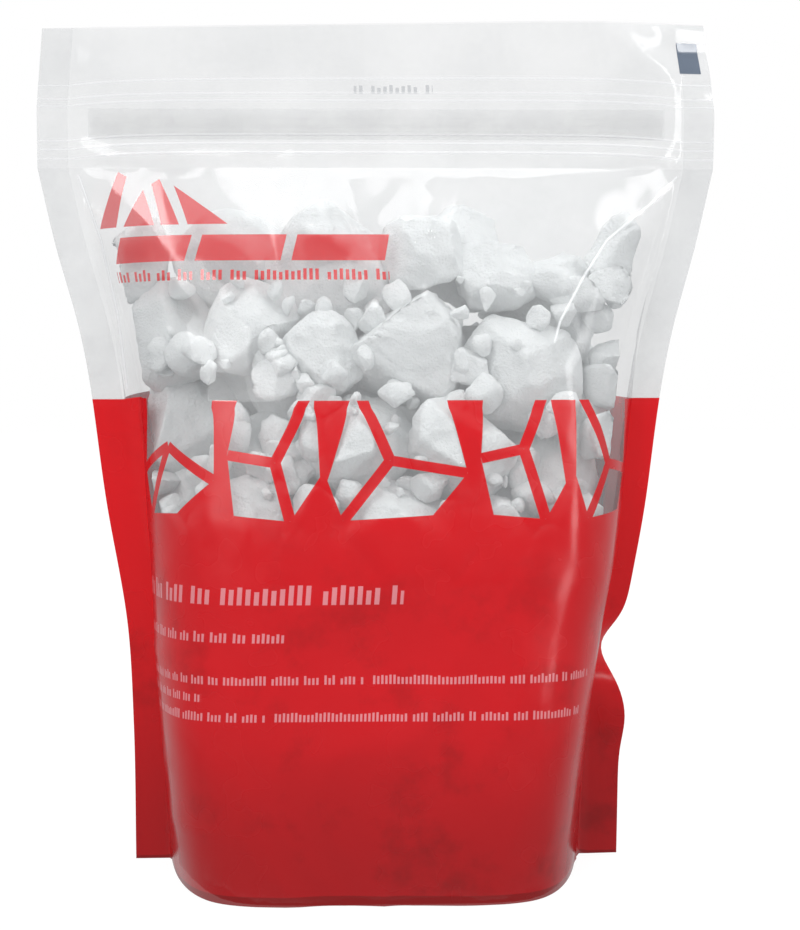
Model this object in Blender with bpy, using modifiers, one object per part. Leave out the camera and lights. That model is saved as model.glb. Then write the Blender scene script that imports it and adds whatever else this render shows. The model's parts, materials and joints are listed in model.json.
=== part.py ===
"""A clear stand-up pouch of crushed chalk with a press-to-close zip.

Metres, +Z up. The origin is the centre of the base, on the surface that the pouch stands on.
The front faces -Y and the width runs along X. The pouch stands filled, with its zip closed.
"""

import math
import random

import bmesh
import bpy
import numpy as np
from mathutils import Vector

# Overall sizes
POUCH_HEIGHT = 0.252
FLAT_WIDTH = 0.200  # across the side seals' outer edges, where the film lies flat
TOP_WIDTH = 0.196  # the same at the top edge, where the mouth stands a little open
BASE_WIDTH = 0.147  # across the side seals' outer edges, at the floor
BASE_DEPTH = 0.096  # front to back at the floor, with the gusset open
BELLY_DEPTH = 0.102  # front to back at the fullest height

# Film, seals and zip
FILM = 0.0002
SEAL_WIDTH = 0.009
ZIP_BELOW_TOP = 0.031  # from the top edge down to the middle of the zip
NECK_BELOW_ZIP = 0.013  # from the middle of the zip down to the line that the lips turn about
NECK_DEPTH = 0.011
FOLD_HEIGHT = 0.045  # of the gusset's middle fold, where it meets the side seals
FLANGE_HEIGHT = 0.009
FLANGE_THICKNESS = 0.0003
RIB_HEIGHT = 0.0014
RIB_WIDTH = 0.0008
ZIP_END_MARGIN = 0.006  # from the zip's ends to the side seals
ZIP_CLEARANCE = 0.0005  # above and below the rib in its groove

# Chalk
BED_TOP = 0.090  # the fines reach this height, and the lumps lie on them
HEADSPACE = 0.020  # from the neck down to the highest lumps
LUMP_COUNT = 44
LUMP_SPREAD = (0.72, 1.3)  # smallest and largest lump, against the middle size
LUMP_FILL = 0.66  # share of the space above the fines that the lumps take up
SEED = 7

# Clearances
FIT_GAP = 0.0003  # between two pieces that touch in the real pouch
CHALK_GAP = 0.0012  # between the chalk and the film

# Mesh densities
FILM_COLUMNS = 26
BODY_ROWS = 13
LIP_ROWS = 2
GUSSET_ROWS = 8
SETTLE_STEPS = 500
SETTLE_DROP = 0.0003

# Worked-out sizes
ZIP_Z = POUCH_HEIGHT - ZIP_BELOW_TOP
ZIP_FOOT_Z = ZIP_Z - FLANGE_HEIGHT / 2
ZIP_TOP_Z = ZIP_Z + FLANGE_HEIGHT / 2
NECK_Z = ZIP_Z - NECK_BELOW_ZIP
FILL_TOP = NECK_Z - HEADSPACE
ZIP_OUTER_Y = FLANGE_THICKNESS + (RIB_HEIGHT + 2 * FIT_GAP) / 2
LIP_HALF_DEPTH = ZIP_OUTER_Y + FIT_GAP

# Height as a share of the neck's, how far the width has grown from the base's to the flat one,
# half depth, and how square the section is: the higher it is, the flatter the front and the
# steeper the flanks.
BODY_SECTIONS = (
    (0.00, 0.00, BASE_DEPTH / 2, 8.0),
    (0.20, 0.01, BELLY_DEPTH / 2, 7.5),
    (0.34, 0.06, 0.97 * BELLY_DEPTH / 2, 6.5),
    (0.52, 0.28, 0.89 * BELLY_DEPTH / 2, 5.5),
    (0.77, 0.56, 0.62 * BELLY_DEPTH / 2, 4.5),
    (0.90, 0.83, 0.34 * BELLY_DEPTH / 2, 4.5),
    (1.00, 1.00, NECK_DEPTH / 2, 6.0),
)
# Height, half depth and squareness above the neck.
LIP_SECTIONS = (
    (NECK_Z, NECK_DEPTH / 2, 6.0),
    (ZIP_FOOT_Z, LIP_HALF_DEPTH, 40.0),
    (POUCH_HEIGHT, LIP_HALF_DEPTH, 40.0),
)


def clear_scene():
    for old in list(bpy.data.objects):
        bpy.data.objects.remove(old, do_unlink=True)


def make_collection(name):
    collection = bpy.data.collections.new(name)
    bpy.context.scene.collection.children.link(collection)
    return collection


def make_material(name, colour, roughness, alpha=1.0, transmission=0.0):
    material = bpy.data.materials.new(name)
    material.use_nodes = True
    shader = material.node_tree.nodes["Principled BSDF"]
    shader.inputs["Base Color"].default_value = (*colour, 1.0)
    shader.inputs["Roughness"].default_value = roughness
    shader.inputs["Metallic"].default_value = 0.0
    shader.inputs["Alpha"].default_value = alpha
    shader.inputs["Transmission Weight"].default_value = transmission
    return material


def add_object(name, mesh, collection, material):
    obj = bpy.data.objects.new(name, mesh)
    mesh.materials.append(material)
    collection.objects.link(obj)
    return obj


def mesh_from(name, bm):
    mesh = bpy.data.meshes.new(name)
    bm.to_mesh(mesh)
    bm.free()
    return mesh


def section_values(height):
    """Width growth, half depth and squareness of the body at a height, on a smooth curve."""
    stations = np.array(BODY_SECTIONS)
    stations[:, 0] *= NECK_Z
    heights = stations[:, 0]
    values = stations[:, 1:]
    slopes = np.gradient(values, heights, axis=0)
    i = int(np.clip(np.searchsorted(heights, height) - 1, 0, len(heights) - 2))
    span = heights[i + 1] - heights[i]
    t = min(max((height - heights[i]) / span, 0.0), 1.0)
    rise = t * t * (3 - 2 * t)
    leave = t * (1 - t) ** 2 * span
    arrive = -t * t * (1 - t) * span
    return (1 - rise) * values[i] + rise * values[i + 1] + leave * slopes[i] + arrive * slopes[i + 1]


def inner_half_width(height):
    """From the middle to a side seal's inner edge."""
    growth = section_values(height)[0]
    width = BASE_WIDTH + growth * (FLAT_WIDTH - BASE_WIDTH)
    if height > ZIP_TOP_Z:
        width = np.interp(height, (ZIP_TOP_Z, POUCH_HEIGHT), (FLAT_WIDTH, TOP_WIDTH))
    return width / 2 - SEAL_WIDTH


def film_half_depth(across, height):
    """From the seal plane to a film's inner face. across runs from -1 at one seal to 1 at the other."""
    if height < NECK_Z:
        _, depth, square = section_values(height)
    else:
        heights, depths, squares = zip(*LIP_SECTIONS)
        depth = np.interp(height, heights, depths)
        square = np.interp(height, heights, squares)
    return FIT_GAP + depth * (1 - min(abs(across), 1.0) ** square) ** 2


def inset_half_depth(across, height, gap):
    """The same, for a piece that stands a gap inside the film, on the flanks as well as the front."""
    further = abs(across) + gap / inner_half_width(height)
    return film_half_depth(further, height) - gap


def film_point(across, height, side):
    """A point on a film's inner face. side is -1 for the front and 1 for the back."""
    x = across * (inner_half_width(height) - FIT_GAP)
    return Vector((x, side * film_half_depth(across, height), height))


def even_steps(low, high, count):
    return [low + (high - low) * i / count for i in range(count + 1)]


def film_columns():
    """Places across the film, the same at every height, with the last but one at the zip's ends."""
    zip_end = 1 - ZIP_END_MARGIN / inner_half_width(ZIP_Z)
    return [-1.0] + even_steps(-zip_end, zip_end, FILM_COLUMNS) + [1.0]


def wall_heights():
    return even_steps(0, NECK_Z - FIT_GAP / 2, BODY_ROWS)


def lip_heights():
    """Heights above the neck, two of them along the zip's own edges."""
    return [NECK_Z + FIT_GAP / 2, ZIP_FOOT_Z] + even_steps(ZIP_TOP_Z, POUCH_HEIGHT, LIP_ROWS)


def grid_surface(name, rows, collection, material, towards, offset=1.0, thickness=FILM):
    """A film through rows of points, thickened away from the side that its first face is turned to."""
    bm = bmesh.new()
    verts = [[bm.verts.new(point) for point in row] for row in rows]
    for lower, upper in zip(verts, verts[1:]):
        for i in range(len(lower) - 1):
            bm.faces.new((lower[i], lower[i + 1], upper[i + 1], upper[i]))
    bmesh.ops.recalc_face_normals(bm, faces=bm.faces)
    bm.faces.ensure_lookup_table()
    middle = bm.faces[len(bm.faces) // 2]
    if middle.normal.dot(Vector(towards)) < 0:
        bmesh.ops.reverse_faces(bm, faces=bm.faces)
    obj = add_object(name, mesh_from(name, bm), collection, material)
    for polygon in obj.data.polygons:
        polygon.use_smooth = True
    solidify = obj.modifiers.new("film", "SOLIDIFY")
    solidify.thickness = thickness
    solidify.offset = offset
    return obj


def make_wall(name, side, heights, collection, material):
    points = [[film_point(u, z, side) for u in film_columns()] for z in heights]
    return grid_surface(name, points, collection, material, (0, side, 0))


def make_side_seal(name, side, collection, material):
    """The band where both films are welded together, so it is two films thick."""
    heights = wall_heights() + [ZIP_TOP_Z, POUCH_HEIGHT]
    points = [
        [Vector((side * (inner_half_width(z) + across), 0, z)) for across in (0, SEAL_WIDTH)]
        for z in heights
    ]
    return grid_surface(name, points, collection, material, (0, -1, 0), offset=0.0, thickness=2 * FILM)


def gusset_ridge(across):
    """Height of the gusset's middle fold: flat on the floor in the middle, rising to the side seals."""
    flat_share = 0.38
    rise = max(abs(across) - flat_share, 0.0) / (1 - flat_share)
    return FOLD_HEIGHT * rise


def gusset_height(across, along):
    """Height of the gusset's upper face. along runs from -1 at the front edge to 1 at the back edge."""
    return FILM + gusset_ridge(across) * (1 - abs(along))


def make_gusset(collection, material):
    reach = 0.94  # it stops short of the side seals, where it is welded in between the films
    rows = []
    for along in even_steps(-1, 1, GUSSET_ROWS):
        row = []
        for u in [u for u in film_columns() if abs(u) < reach]:
            x = u * inner_half_width(0.0)
            y = along * inset_half_depth(u, 0.0, 2 * FIT_GAP)
            row.append(Vector((x, y, gusset_height(u, along))))
        rows.append(row)
    return grid_surface("bottom_gusset", rows, collection, material, (0, 0, 1), offset=-1.0)


def make_fines_bed(collection, material):
    """The packed crumbs and powder: one ring of points at each step across, lofted from end to end.

    Above the gusset's fold, the two end rings are closed level by level, since the bed widens with height.
    """
    reach = 0.8
    bottom_shares = even_steps(-1, 1, 6)
    bm = bmesh.new()
    rings = []
    floor_z = FILM + CHALK_GAP
    side_heights = [z for z in wall_heights() if 0 < z < BED_TOP - CHALK_GAP] + [BED_TOP]
    for u in [u for u in film_columns() if abs(u) < reach]:
        bottom_y = inset_half_depth(u, floor_z, CHALK_GAP)
        gusset_y = inset_half_depth(u, 0.0, 2 * FIT_GAP)
        upright_gap = CHALK_GAP * math.hypot(1.0, gusset_ridge(u) / gusset_y)
        ring = []
        for share in bottom_shares:
            z = gusset_height(u, share * bottom_y / gusset_y) + upright_gap
            ring.append((u * inner_half_width(floor_z), share * bottom_y, z))
        for z in side_heights:
            ring.append((u * inner_half_width(z), inset_half_depth(u, z, CHALK_GAP), z))
        for z in reversed(side_heights):
            ring.append((u * inner_half_width(z), -inset_half_depth(u, z, CHALK_GAP), z))
        rings.append([bm.verts.new(point) for point in ring])
    for ring, following in zip(rings, rings[1:]):
        count = len(ring)
        for i in range(count):
            j = (i + 1) % count
            bm.faces.new((ring[i], ring[j], following[j], following[i]))
    for ring in (rings[0], rings[-1]):
        fold_top = max(vert.co.z for vert in ring[: len(bottom_shares)])
        above_fold = sum(z < fold_top for z in side_heights)
        bm.faces.new(ring[: len(bottom_shares) + above_fold + 1] + ring[-1 - above_fold :])
        for i in range(above_fold, len(side_heights) - 1):
            front, back = -1 - i, len(bottom_shares) + i
            bm.faces.new((ring[back], ring[back + 1], ring[front - 1], ring[front]))
    bmesh.ops.triangulate(bm, faces=[face for face in bm.faces if len(face.verts) > 4])
    bmesh.ops.recalc_face_normals(bm, faces=bm.faces)
    return add_object("chalk_fines_bed", mesh_from("chalk_fines_bed", bm), collection, material)


def make_zip_strip(name, outline, side, collection, material):
    """A straight strip along X. outline holds (distance in from the strip's back, height) points."""
    curve = bpy.data.curves.new(name, "CURVE")
    curve.dimensions = "2D"
    curve.fill_mode = "BOTH"
    curve.extrude = inner_half_width(ZIP_Z) - ZIP_END_MARGIN
    spline = curve.splines.new("POLY")
    spline.points.add(len(outline) - 1)
    for point, (inward, height) in zip(spline.points, outline):
        point.co = (side * (ZIP_OUTER_Y - inward), height, 0, 1)
    spline.use_cyclic_u = True
    obj = bpy.data.objects.new(name, curve)
    curve.materials.append(material)
    collection.objects.link(obj)
    # The curve's own X lies along world Y, its Y along world Z and its extrusion along world X.
    obj.rotation_euler = (math.radians(90), 0, math.radians(90))
    obj.location = (0, 0, ZIP_Z)
    return obj


def rib_outline():
    """A flange with one rib in the middle."""
    deep = FLANGE_THICKNESS + RIB_HEIGHT
    half = FLANGE_HEIGHT / 2
    rib = RIB_WIDTH / 2
    return (
        (0, -half),
        (FLANGE_THICKNESS, -half),
        (FLANGE_THICKNESS, -rib),
        (deep, -rib),
        (deep, rib),
        (FLANGE_THICKNESS, rib),
        (FLANGE_THICKNESS, half),
        (0, half),
    )


def groove_outline():
    """A flange with two rails, which the rib slides in between."""
    deep = FLANGE_THICKNESS + RIB_HEIGHT
    half = FLANGE_HEIGHT / 2
    inner = RIB_WIDTH / 2 + ZIP_CLEARANCE
    outer = inner + RIB_WIDTH
    return (
        (0, -half),
        (FLANGE_THICKNESS, -half),
        (FLANGE_THICKNESS, -outer),
        (deep, -outer),
        (deep, -inner),
        (FLANGE_THICKNESS, -inner),
        (FLANGE_THICKNESS, inner),
        (deep, inner),
        (deep, outer),
        (FLANGE_THICKNESS, outer),
        (FLANGE_THICKNESS, half),
        (0, half),
    )


def room_beside(x, height):
    """Half the front-to-back room for chalk at a place across and up."""
    return inset_half_depth(x / inner_half_width(height), height, CHALK_GAP)


def space_for_lumps():
    """Volume between the fines and the fill's top, from the area of a section every few millimetres."""
    volume = 0.0
    slices = 12
    columns = 20
    for z in even_steps(BED_TOP, FILL_TOP, slices)[:-1]:
        width = 2 * inner_half_width(z)
        depths = [2 * film_half_depth(u, z) for u in even_steps(-1, 1, columns)]
        volume += width * sum(depths) / len(depths) * (FILL_TOP - BED_TOP) / slices
    return volume


def settled_lumps():
    """Centres and radii of the lumps: dropped at random, then pushed apart and down until they settle."""
    rng = random.Random(SEED)
    middle = (LUMP_FILL * space_for_lumps() / LUMP_COUNT / (4 / 3 * math.pi)) ** (1 / 3)
    sizes = even_steps(LUMP_SPREAD[0], LUMP_SPREAD[1], LUMP_COUNT - 1)
    rng.shuffle(sizes)
    radii = middle * np.array(sizes)
    half_width = inner_half_width(BED_TOP)
    centres = np.array(
        [
            (rng.uniform(-0.7, 0.7) * half_width, rng.uniform(-0.5, 0.5) * BASE_DEPTH / 2, z)
            for z in even_steps(BED_TOP, FILL_TOP, LUMP_COUNT - 1)
        ]
    )
    for step in range(SETTLE_STEPS):
        if step < SETTLE_STEPS * 0.8:
            centres[:, 2] -= SETTLE_DROP
        gaps = centres[:, None, :] - centres[None, :, :]
        apart = np.linalg.norm(gaps, axis=2) + np.eye(LUMP_COUNT)
        overlap = np.clip(radii[:, None] + radii[None, :] - apart, 0, None) * (1 - np.eye(LUMP_COUNT))
        centres += 0.4 * (gaps / apart[:, :, None] * overlap[:, :, None]).sum(axis=1)
        for i, radius in enumerate(radii):
            x, y, z = centres[i]
            z = max(z, BED_TOP + 0.75 * radius)
            z = min(z, FILL_TOP - 0.5 * radius)
            widest = inner_half_width(z) - 0.9 * radius
            x = min(max(x, -widest), widest)
            deepest = max(room_beside(x, z) - 0.75 * radius, 0.0)
            y = min(max(y, -deepest), deepest)
            centres[i] = (x, y, z)
    return centres, radii


def inside_film(place):
    """The place moved in, across and then front to back, until it clears the film."""
    widest = 0.93 * inner_half_width(place.z)
    x = min(max(place.x, -widest), widest)
    room = room_beside(x, place.z)
    return Vector((x, min(max(place.y, -room), room), place.z))


def pressed_inside(point, centre, walls):
    """A lump's point moved within its walls and the film. A wall is a normal and how far along it it stands."""
    for _ in range(5):
        for normal, distance in walls:
            short = distance - point.dot(normal)
            if short > 0:
                point = point + normal * short
        point = inside_film(centre + point) - centre
    for _ in range(200):
        clear = all(point.dot(normal) >= distance for normal, distance in walls)
        if clear and (inside_film(centre + point) - centre - point).length < FIT_GAP / 3:
            break
        point = 0.98 * point
    return point


def make_lump(name, index, centres, radii, collection, material):
    """An angular lump: a stretched ball pressed flat against its neighbours, the fines and the film."""
    rng = random.Random(SEED + index)
    centre = Vector(centres[index])
    radius = radii[index]
    walls = [(Vector((0, 0, 1)), BED_TOP + FIT_GAP - centre.z)]
    for other, (place, size) in enumerate(zip(centres, radii)):
        between = Vector(place) - centre
        distance = between.length
        if other == index or distance > 1.5 * (radius + size):
            continue
        share = (distance**2 + radius**2 - size**2) / (2 * distance)
        walls.append((-between / distance, FIT_GAP / 2 - share))
    for _ in range(5):
        chipped = Vector([rng.uniform(-1, 1) for _ in range(3)]).normalized()
        walls.append((-chipped, -radius * rng.uniform(0.72, 0.95)))
    stretch = Vector((rng.uniform(1.0, 1.3), rng.uniform(0.9, 1.15), rng.uniform(0.85, 1.1)))

    ball = bmesh.new()
    bmesh.ops.create_icosphere(ball, subdivisions=2, radius=radius)
    points = [vert.co * stretch for vert in ball.verts]
    ball.free()
    bm = bmesh.new()
    for point in points:
        bm.verts.new(pressed_inside(point, centre, walls))
    bmesh.ops.remove_doubles(bm, verts=bm.verts, dist=0.02 * radius)
    bmesh.ops.convex_hull(bm, input=bm.verts)
    inside = [vert for vert in bm.verts if not vert.link_faces]
    bmesh.ops.delete(bm, geom=inside, context="VERTS")
    bmesh.ops.recalc_face_normals(bm, faces=bm.faces)
    obj = add_object(name, mesh_from(name, bm), collection, material)
    obj.location = centre
    return obj


def build():
    clear_scene()
    pouch = make_collection("chalk_pouch")
    clear_film = make_material("clear_film", (0.85, 0.86, 0.88), 0.12, alpha=0.25)
    seal_film = make_material("sealed_film", (0.86, 0.87, 0.88), 0.2, alpha=0.4)
    printed_film = make_material("printed_film", (0.70, 0.01, 0.02), 0.25, alpha=0.9)
    zip_plastic = make_material("zip_plastic", (0.88, 0.89, 0.90), 0.25, alpha=0.5)
    chalk = make_material("lump_chalk", (0.90, 0.91, 0.91), 0.95)
    fines = make_material("fine_chalk", (0.86, 0.87, 0.87), 1.0)

    make_wall("front_film", -1, wall_heights(), pouch, printed_film)
    make_wall("back_film", 1, wall_heights(), pouch, printed_film.copy())
    make_wall("front_lip_film", -1, lip_heights(), pouch, clear_film)
    make_wall("back_lip_film", 1, lip_heights(), pouch, clear_film.copy())
    make_side_seal("left_side_seal", -1, pouch, seal_film)
    make_side_seal("right_side_seal", 1, pouch, seal_film.copy())
    make_gusset(pouch, printed_film.copy())
    make_zip_strip("zip_rib_strip", rib_outline(), -1, pouch, zip_plastic)
    make_zip_strip("zip_groove_strip", groove_outline(), 1, pouch, zip_plastic.copy())
    make_fines_bed(pouch, fines)
    centres, radii = settled_lumps()
    for index in range(LUMP_COUNT):
        make_lump(f"chalk_lump_{index + 1:02d}", index, centres, radii, pouch, chalk.copy())


build()
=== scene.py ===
"""Looks for the pouch of crushed chalk: film, print, seals, zip and chalk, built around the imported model."""

import json
import math

import bmesh
import bpy
import numpy as np
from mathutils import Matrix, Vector, noise
from mathutils.bvhtree import BVHTree


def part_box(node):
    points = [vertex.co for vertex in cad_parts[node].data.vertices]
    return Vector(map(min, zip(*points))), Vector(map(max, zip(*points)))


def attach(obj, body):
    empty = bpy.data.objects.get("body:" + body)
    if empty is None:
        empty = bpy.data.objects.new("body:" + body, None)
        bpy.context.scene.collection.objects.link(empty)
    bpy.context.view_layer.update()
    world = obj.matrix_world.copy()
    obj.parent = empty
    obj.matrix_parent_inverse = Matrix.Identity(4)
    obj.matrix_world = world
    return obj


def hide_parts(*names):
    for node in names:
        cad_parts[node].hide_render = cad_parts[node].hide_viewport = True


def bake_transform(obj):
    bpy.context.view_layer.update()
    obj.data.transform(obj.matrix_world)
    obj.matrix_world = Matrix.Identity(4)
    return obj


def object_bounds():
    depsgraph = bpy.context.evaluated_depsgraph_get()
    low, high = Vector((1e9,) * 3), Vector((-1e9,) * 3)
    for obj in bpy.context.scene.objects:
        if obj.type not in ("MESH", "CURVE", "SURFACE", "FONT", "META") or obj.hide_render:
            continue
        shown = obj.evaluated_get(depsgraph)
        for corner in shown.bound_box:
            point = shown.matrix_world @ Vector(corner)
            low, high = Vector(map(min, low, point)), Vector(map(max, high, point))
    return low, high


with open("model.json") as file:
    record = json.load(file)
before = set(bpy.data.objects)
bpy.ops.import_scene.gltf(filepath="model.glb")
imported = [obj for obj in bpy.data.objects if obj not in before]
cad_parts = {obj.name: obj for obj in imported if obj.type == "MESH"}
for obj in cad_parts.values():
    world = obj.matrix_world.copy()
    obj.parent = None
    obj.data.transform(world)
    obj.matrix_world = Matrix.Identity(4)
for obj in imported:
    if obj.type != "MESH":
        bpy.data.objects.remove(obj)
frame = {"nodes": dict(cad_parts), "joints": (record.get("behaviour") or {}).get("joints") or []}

CAD_LOW, CAD_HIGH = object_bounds()

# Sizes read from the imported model, in metres
SEAL_LOW, SEAL_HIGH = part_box("left_side_seal")
ZIP_LOW, ZIP_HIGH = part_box("zip_rib_strip")
BED_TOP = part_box("chalk_fines_bed")[1].z
NECK = {joint["child"]: Vector(joint["pos_m"]) for joint in frame["joints"]}
NECK_Z = NECK["front_lip"].z
TOP_Z = SEAL_HIGH.z
HALF_FLAT = -SEAL_LOW.x
BELLY_HALF = -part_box("front_film")[0].y
NECK_HALF = -NECK["front_lip"].y

# Sizes of the film
SEAL_WIDTH = 0.009
BASE_HALF = 0.0735  # half widths at the base and at the top edge
TOP_HALF = 0.098
BASE_HALF_DEPTH = 0.048
LIP_HALF = 0.0016  # half the space between the closed lips
FILM_GAP = 0.0003  # the space between two films welded together, or between a film and chalk

# How finely the film is divided
FILM_COLUMNS = 150
SEAL_COLUMNS = 4
FILM_STEP = 0.0018
ZIP_STEPS = 24
LENGTH_SAMPLES = 81  # points used to measure a row's length
INSIDE_SEALS = 0.9999  # the share of the inner half width that keeps those points off the seals

# Places in the print are across from the middle of the flat film, and up from its bottom edge
PRINT_TOP = 0.1400
PRINT_LIFT = 0.002  # the bulge of a wall carries its print this much higher in the middle
SEAL_PRINT_TOP = 0.1378  # the red of a welded seal ends a little lower than the walls'
GUSSET_PRINT_HEIGHT = 0.01  # the floor panel has the red of this height all over
EDGE = 0.00012  # how soft a printed edge is


# ---------------------------------------------------------------- camera, floor and lights


def make_camera():
    data = bpy.data.cameras.new("camera")
    data.lens = 77.4
    data.sensor_width = 36.0
    data.shift_x = 0.0242
    camera = bpy.data.objects.new("camera", data)
    bpy.context.scene.collection.objects.link(camera)
    target = Vector((0.0, 0.0, 0.120))
    distance, azimuth, elevation = 0.60, math.radians(-2.2), math.radians(5.6)
    back = Vector(
        (
            math.sin(azimuth) * math.cos(elevation),
            -math.cos(azimuth) * math.cos(elevation),
            math.sin(elevation),
        )
    )
    camera.location = target + back * distance
    camera.rotation_euler = back.to_track_quat("Z", "Y").to_euler()
    bpy.context.scene.camera = camera


# Each light's name, place, size and power. They all face one point.
LIGHTS = (
    ("key", (-0.75, -1.05, 0.95), (0.8, 0.9), 10),
    ("side_strip", (0.95, -0.75, 0.45), (0.22, 1.1), 4.5),
    ("behind", (0.8, 1.25, 0.9), (0.7, 0.7), 7),
    ("overhead", (0.1, -0.1, 1.3), (1.2, 0.6), 9),
)
LIGHTS_TARGET = Vector((0, 0, 0.12))

PAPER_REACH = 4.0  # from the middle of a paper to its edges
FLOOR_DROP = 0.0002  # how far the floor lies under the pouch
BACKDROP_PLACE = (0, 1.6, 0)


def make_area_light(name, place, size, power):
    data = bpy.data.lights.new(name, "AREA")
    data.shape = "RECTANGLE"
    data.size, data.size_y = size
    data.energy = power
    light = bpy.data.objects.new(name, data)
    bpy.context.scene.collection.objects.link(light)
    light.location = place
    light.rotation_euler = (Vector(place) - LIGHTS_TARGET).to_track_quat("Z", "Y").to_euler()


def make_paper(name, place, turn, albedo, glow):
    """A large sheet of white paper, lit from behind so that it stays white, that lights nothing itself."""
    mesh = bpy.data.meshes.new(name)
    bm = bmesh.new()
    bmesh.ops.create_grid(bm, x_segments=1, y_segments=1, size=PAPER_REACH)
    bm.to_mesh(mesh)
    bm.free()
    paper = bpy.data.objects.new(name, mesh)
    bpy.context.scene.collection.objects.link(paper)
    paper.location = place
    paper.rotation_euler = turn
    material = bpy.data.materials.new(name)
    material.use_nodes = True
    shader = material.node_tree.nodes["Principled BSDF"]
    shader.inputs["Base Color"].default_value = (albedo, albedo, albedo, 1)
    shader.inputs["Roughness"].default_value = 0.9
    shader.inputs["Specular IOR Level"].default_value = 0.0
    shader.inputs["Emission Color"].default_value = (1, 1, 1, 1)
    shader.inputs["Emission Strength"].default_value = glow
    mesh.materials.append(material)
    paper.visible_diffuse = False
    paper.visible_glossy = False


def make_stage():
    world = bpy.data.worlds.new("studio")
    bpy.context.scene.world = world
    world.use_nodes = True
    background = world.node_tree.nodes["Background"]
    background.inputs["Color"].default_value = (0.97, 0.985, 1.0, 1.0)
    background.inputs["Strength"].default_value = 0.54
    for light in LIGHTS:
        make_area_light(*light)
    make_paper("floor", (0, 0, CAD_LOW.z - FLOOR_DROP), (0, 0, 0), albedo=0.10, glow=0.94)
    make_paper("backdrop", BACKDROP_PLACE, (math.radians(90), 0, 0), albedo=0.0, glow=1.0)
    bpy.context.scene.view_settings.view_transform = "Standard"


# ---------------------------------------------------------------- node helpers


class Graph:
    """A short way to write a material's nodes: each call adds one node and gives its output."""

    def __init__(self, name):
        self.material = bpy.data.materials.new(name)
        self.material.use_nodes = True
        self.tree = self.material.node_tree
        self.shader = self.tree.nodes["Principled BSDF"]

    def add(self, kind, **settings):
        node = self.tree.nodes.new(kind)
        for key, value in settings.items():
            setattr(node, key, value)
        return node

    def plug(self, socket, value):
        if isinstance(value, bpy.types.NodeSocket):
            self.tree.links.new(value, socket)
        else:
            socket.default_value = value

    def math(self, operation, a, b=0.0, c=0.0, clamp=False):
        node = self.add("ShaderNodeMath", operation=operation, use_clamp=clamp)
        for socket, value in zip(node.inputs, (a, b, c)):
            self.plug(socket, value)
        return node.outputs[0]

    def ramp(self, value, low, high, start=0.0, end=1.0):
        """start below low, end above high, and smooth between them."""
        node = self.add("ShaderNodeMapRange", interpolation_type="SMOOTHSTEP")
        for name, given in (
            ("Value", value), ("From Min", low), ("From Max", high), ("To Min", start), ("To Max", end)
        ):
            self.plug(node.inputs[name], given)
        return node.outputs["Result"]

    def mix(self, share, a, b):
        """Colour a, mixed towards colour b by a share."""
        node = self.add("ShaderNodeMix", data_type="RGBA")
        self.plug(node.inputs["Factor"], share)
        for index, value in ((6, a), (7, b)):
            if isinstance(value, tuple):
                value = (*value, 1.0)
            self.plug(node.inputs[index], value)
        return node.outputs[2]

    def noise(self, scale, detail=3.0, roughness=0.5):
        node = self.add("ShaderNodeTexNoise")
        node.inputs["Scale"].default_value = scale
        node.inputs["Detail"].default_value = detail
        node.inputs["Roughness"].default_value = roughness
        self.tree.links.new(self.place(), node.inputs["Vector"])
        return node.outputs["Fac"]

    def place(self):
        return self.add("ShaderNodeTexCoord").outputs["Object"]

    def print_place(self):
        """Across and up the flat film, in metres."""
        split = self.add("ShaderNodeSeparateXYZ")
        self.tree.links.new(self.add("ShaderNodeUVMap", uv_map="flat_film").outputs[0], split.inputs[0])
        return split.outputs[0], split.outputs[1]

    def bump(self, height, strength, distance):
        node = self.add("ShaderNodeBump")
        node.inputs["Strength"].default_value = strength
        node.inputs["Distance"].default_value = distance
        self.tree.links.new(height, node.inputs["Height"])
        self.tree.links.new(node.outputs[0], self.shader.inputs["Normal"])

    def set(self, **values):
        for name, value in values.items():
            self.plug(self.shader.inputs[name.replace("_", " ")], value)


def union(graph, masks):
    """1 wherever any of the masks is 1."""
    total = masks[0]
    for mask in masks[1:]:
        total = graph.math("MAXIMUM", total, mask)
    return total


def polygon_mask(graph, across, up, corners):
    """1 inside a convex outline, whose corners run anticlockwise."""
    inside = None
    for (ax, az), (bx, bz) in zip(corners, corners[1:] + corners[:1]):
        length = math.hypot(bx - ax, bz - az)
        nx, nz = -(bz - az) / length, (bx - ax) / length
        offset = -(nx * ax + nz * az)
        from_up = graph.math("MULTIPLY_ADD", up, nz, offset)
        distance = graph.math("MULTIPLY_ADD", across, nx, from_up)
        inside = distance if inside is None else graph.math("MINIMUM", inside, distance)
    return graph.ramp(inside, -EDGE, EDGE)


def stripe(start, end, width):
    """The corners of a straight stripe, anticlockwise."""
    (ax, az), (bx, bz) = start, end
    length = math.hypot(bx - ax, bz - az)
    nx, nz = -(bz - az) / length * width / 2, (bx - ax) / length * width / 2
    return ((ax - nx, az - nz), (bx - nx, bz - nz), (bx + nx, bz + nz), (ax + nx, az + nz))


def band_mask(graph, value, low, high):
    """1 between low and high."""
    rise = graph.ramp(value, low - EDGE, low + EDGE)
    fall = graph.ramp(value, high - EDGE, high + EDGE, 1.0, 0.0)
    return graph.math("MULTIPLY", rise, fall)


def box_mask(graph, across, up, left, right, low, high):
    return graph.math("MULTIPLY", band_mask(graph, across, left, right), band_mask(graph, up, low, high))


# The ticks that stand in for small print: how much of a tick's space is inked, how many are left out
# as gaps, and how much shorter than the line the shortest is
TICK_INK = 0.58
TICK_GAPS = 0.17
TICK_DROP = 0.35


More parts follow.
